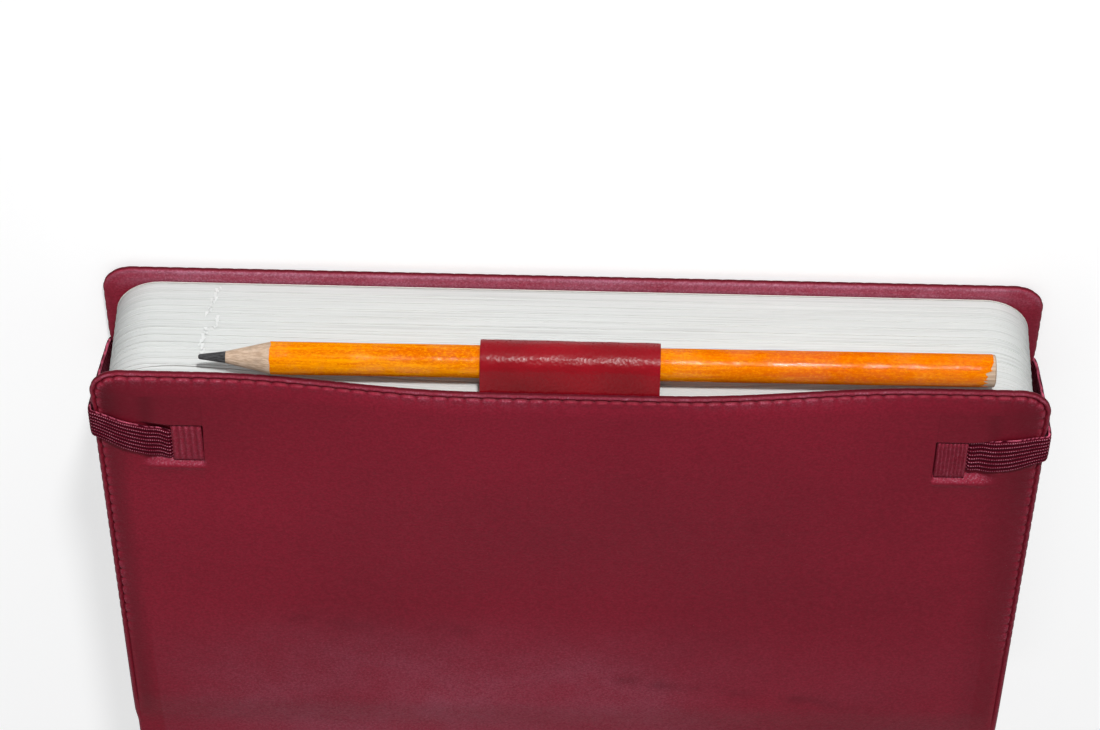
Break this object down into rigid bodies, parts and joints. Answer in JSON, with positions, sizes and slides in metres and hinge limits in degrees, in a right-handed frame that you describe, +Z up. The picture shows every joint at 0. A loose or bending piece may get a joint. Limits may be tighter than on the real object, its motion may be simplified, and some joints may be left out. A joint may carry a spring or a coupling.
{
  "type": "diary",
  "caption": "Closed page-a-day diary in a padded case with rounded corners, an elastic closing band and a round pencil in a loop on its fore-edge.",
  "frame": {"origin": "on the surface the diary lies on, under the middle of its bounding box", "axes": "+X from head to tail along the spine, +Y from the fore-edge to the spine, +Z up through the closed diary from the front cover to the back cover"},
  "size_m": [0.2122, 0.1562, 0.0366],
  "materials": {
    "leatherette": "grained maroon leatherette",
    "crimson": "smooth crimson leatherette",
    "board": "padded greyboard",
    "endpaper": "uncoated heavy paper",
    "paper": "uncoated paper",
    "cloth": "bookbinding cloth",
    "webbing": "ribbed elastic webbing",
    "varnished_wood": "glossy orange varnish over wood",
    "graphite": "graphite"
  },
  "bodies": {
    "text_block": {"section_01": "paper", "section_02": "paper", "section_03": "paper", "section_04": "paper", "section_05": "paper", "section_06": "paper", "section_07": "paper", "section_08": "paper", "section_09": "paper", "section_10": "paper", "section_11": "paper", "section_12": "paper", "front_flyleaf": "endpaper", "mull": "cloth", "headband": "cloth", "tailband": "cloth", "spine_skin": "leatherette", "spine_board": "board"},
    "front_cover": {"front_cover_skin": "leatherette", "front_cover_board": "board", "front_pastedown": "endpaper"},
    "back_cover": {"back_cover_skin": "leatherette", "back_cover_board": "board", "back_pastedown": "endpaper", "head_anchor_pad": "leatherette", "tail_anchor_pad": "leatherette", "pencil_loop": "crimson"},
    "back_flyleaf": {"back_flyleaf": "endpaper"},
    "last_leaf": {"last_leaf": "paper"},
    "leaf_before_last": {"leaf_before_last": "paper"},
    "elastic_band": {"elastic_band": "webbing"},
    "pencil": {"pencil_barrel": "varnished_wood", "pencil_lead": "graphite"}
  },
  "joints": [
    {"name": "front_cover_hinge", "type": "hinge", "parent": "text_block", "child": "front_cover", "pos_m": [0, 0.07425, 0.00135], "axis": [1, 0, 0], "range_deg": [0, 180]},
    {"name": "back_cover_hinge", "type": "hinge", "parent": "text_block", "child": "back_cover", "pos_m": [0, 0.07425, 0.0315], "axis": [-1, 0, 0], "range_deg": [0, 180]},
    {"name": "back_flyleaf_turn", "type": "hinge", "parent": "text_block", "child": "back_flyleaf", "pos_m": [0, 0.06725, 0.0298], "axis": [-1, 0, 0], "range_deg": [0, 145]},
    {"name": "last_leaf_turn", "type": "hinge", "parent": "text_block", "child": "last_leaf", "pos_m": [0, 0.06665, 0.0293], "axis": [-1, 0, 0], "range_deg": [0, 91]},
    {"name": "leaf_before_last_turn", "type": "hinge", "parent": "text_block", "child": "leaf_before_last", "pos_m": [0, 0.06605, 0.0288], "axis": [-1, 0, 0], "range_deg": [0, 46]},
    {"name": "elastic_band_swing", "type": "hinge", "parent": "back_cover", "child": "elastic_band", "pos_m": [0, -0.047, 0.0326], "axis": [-1, 0, 0], "range_deg": [0, 91], "deforming": ["elastic_band"]},
    {"name": "pencil_slide", "type": "slide", "parent": "back_cover", "child": "pencil", "axis": [-1, 0, -0.0061], "range_m": [0, 0.105]}
  ],
  "couplings": [
    {"joint": "back_flyleaf_turn", "follows": "back_cover_hinge", "ratio": 0.8},
    {"joint": "last_leaf_turn", "follows": "back_cover_hinge", "ratio": 0.5},
    {"joint": "leaf_before_last_turn", "follows": "back_cover_hinge", "ratio": 0.25},
    {"joint": "elastic_band_swing", "follows": "back_cover_hinge", "ratio": 0.5}
  ]
}
